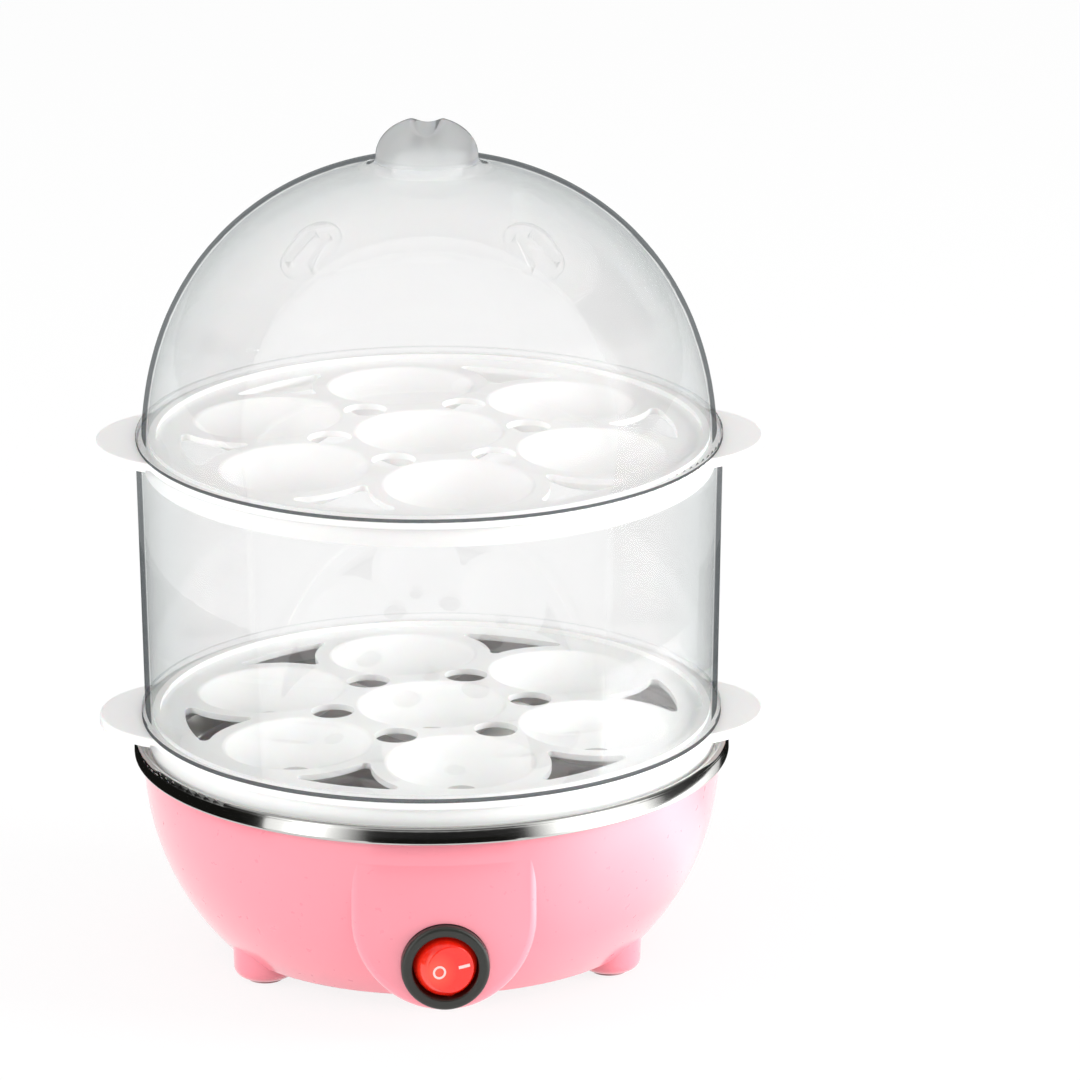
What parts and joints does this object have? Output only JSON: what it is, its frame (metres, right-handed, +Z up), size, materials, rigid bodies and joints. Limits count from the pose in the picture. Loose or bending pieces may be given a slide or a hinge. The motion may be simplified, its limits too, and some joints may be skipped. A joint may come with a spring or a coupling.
{
  "type": "egg boiler",
  "caption": "Stacked electric egg steamer: pink heating base with rocker switch and steel water bowl, white cupped trays with grips, clear ring cover, clear domed lid with knob.",
  "frame": {"origin": "on the floor plane under the vertical axis of the bowl", "axes": "+Z up along the bowl's axis, -Y towards the switch, +X to the right seen from the front"},
  "size_m": [0.1749, 0.1588, 0.2257],
  "materials": {
    "pink_gloss_plastic": "smooth glossy moulding",
    "white_plastic": "fine satin moulding",
    "clear_plastic": "clear polished polystyrene-like plastic",
    "black_plastic": "semi-gloss moulding",
    "red_clear_plastic": "see-through red gloss",
    "mark_white": "printed raised mark",
    "grey_rubber": "matt rubber",
    "black_rubber": "matt soft bush",
    "silicone": "matt silicone",
    "polished_steel": "mirror-polished stainless sheet",
    "steel": "zinc-plated",
    "aluminised_sheet": "dull aluminised sheet",
    "aluminium": "rolled plate",
    "brass": "plain",
    "tinned_brass": "tinned",
    "ceramic": "unglazed ceramic",
    "phenolic": "dark phenolic moulding",
    "sleeve_fibre": "woven glass-fibre sleeve",
    "glass": "clear lamp glass",
    "lead_brown": "insulation",
    "lead_blue": "insulation",
    "lead_earth": "insulation",
    "lead_white": "heat-proof insulation"
  },
  "bodies": {
    "base": {"base_housing": "pink_gloss_plastic", "foot_rubbers": "grey_rubber", "bottom_cover": "pink_gloss_plastic", "cover_screws": "steel", "water_bowl": "polished_steel", "cord_bush": "black_rubber", "switch_housing": "black_plastic", "rim_gasket": "silicone", "bowl_stud": "steel", "heater_plate": "aluminium", "heating_element": "steel", "element_bushes": "ceramic", "element_terminals": "tinned_brass", "plate_spacer": "steel", "heat_shield": "aluminised_sheet", "clamp_bracket": "steel", "clamp_washer": "steel", "clamp_nut": "steel", "bracket_screws": "steel", "thermostat_cap": "aluminium", "thermostat_body": "phenolic", "thermostat_clip": "steel", "thermostat_screws": "steel", "thermostat_tabs": "tinned_brass", "fuse_sleeve": "sleeve_fibre", "thermal_fuse": "tinned_brass", "fuse_clip": "steel", "fuse_clip_screw": "steel", "earth_eyelet": "tinned_brass", "earth_screw": "steel", "terminal_block": "white_plastic", "block_inserts": "brass", "block_clamp_screws": "steel", "block_mount_screws": "steel", "spade_receptacles": "tinned_brass", "live_lead": "lead_brown", "lamp_lead": "lead_blue", "switched_lead": "lead_white", "fuse_feed_lead": "lead_white", "element_feed_lead": "lead_white", "neutral_lead": "lead_blue", "earth_lead": "lead_earth", "switch_terminals": "tinned_brass"},
    "rocker": {"switch_rocker": "red_clear_plastic", "rocker_marks": "mark_white", "switch_plunger": "white_plastic", "plunger_spring": "steel", "neon_lamp": "glass"},
    "contact": {"switch_contact": "brass"},
    "lower_tray": {"lower_tray": "white_plastic"},
    "middle_cover": {"middle_cover": "clear_plastic"},
    "upper_tray": {"upper_tray": "white_plastic"},
    "dome_lid": {"dome_lid": "clear_plastic"}
  },
  "joints": [
    {"name": "rocker_tilt", "type": "hinge", "parent": "base", "child": "rocker", "pos_m": [0, -0.07347, 0.0201], "axis": [-0.1564, 0, 0.9877], "range_deg": [-26, 0]},
    {"name": "contact_tilt", "type": "hinge", "parent": "base", "child": "contact", "pos_m": [0, -0.06512, 0.0201], "axis": [-0.1564, 0, 0.9877], "range_deg": [0, 13]},
    {"name": "lower_tray_lift", "type": "slide", "parent": "base", "child": "lower_tray", "axis": [0, 0, 1], "range_m": [0, 0.06]},
    {"name": "middle_cover_lift", "type": "slide", "parent": "lower_tray", "child": "middle_cover", "axis": [0, 0, 1], "range_m": [0, 0.09]},
    {"name": "upper_tray_lift", "type": "slide", "parent": "middle_cover", "child": "upper_tray", "axis": [0, 0, 1], "range_m": [0, 0.06]},
    {"name": "dome_lid_lift", "type": "slide", "parent": "upper_tray", "child": "dome_lid", "axis": [0, 0, 1], "range_m": [0, 0.1]}
  ],
  "couplings": [
    {"joint": "contact_tilt", "follows": "rocker_tilt", "ratio": -0.5}
  ]
}
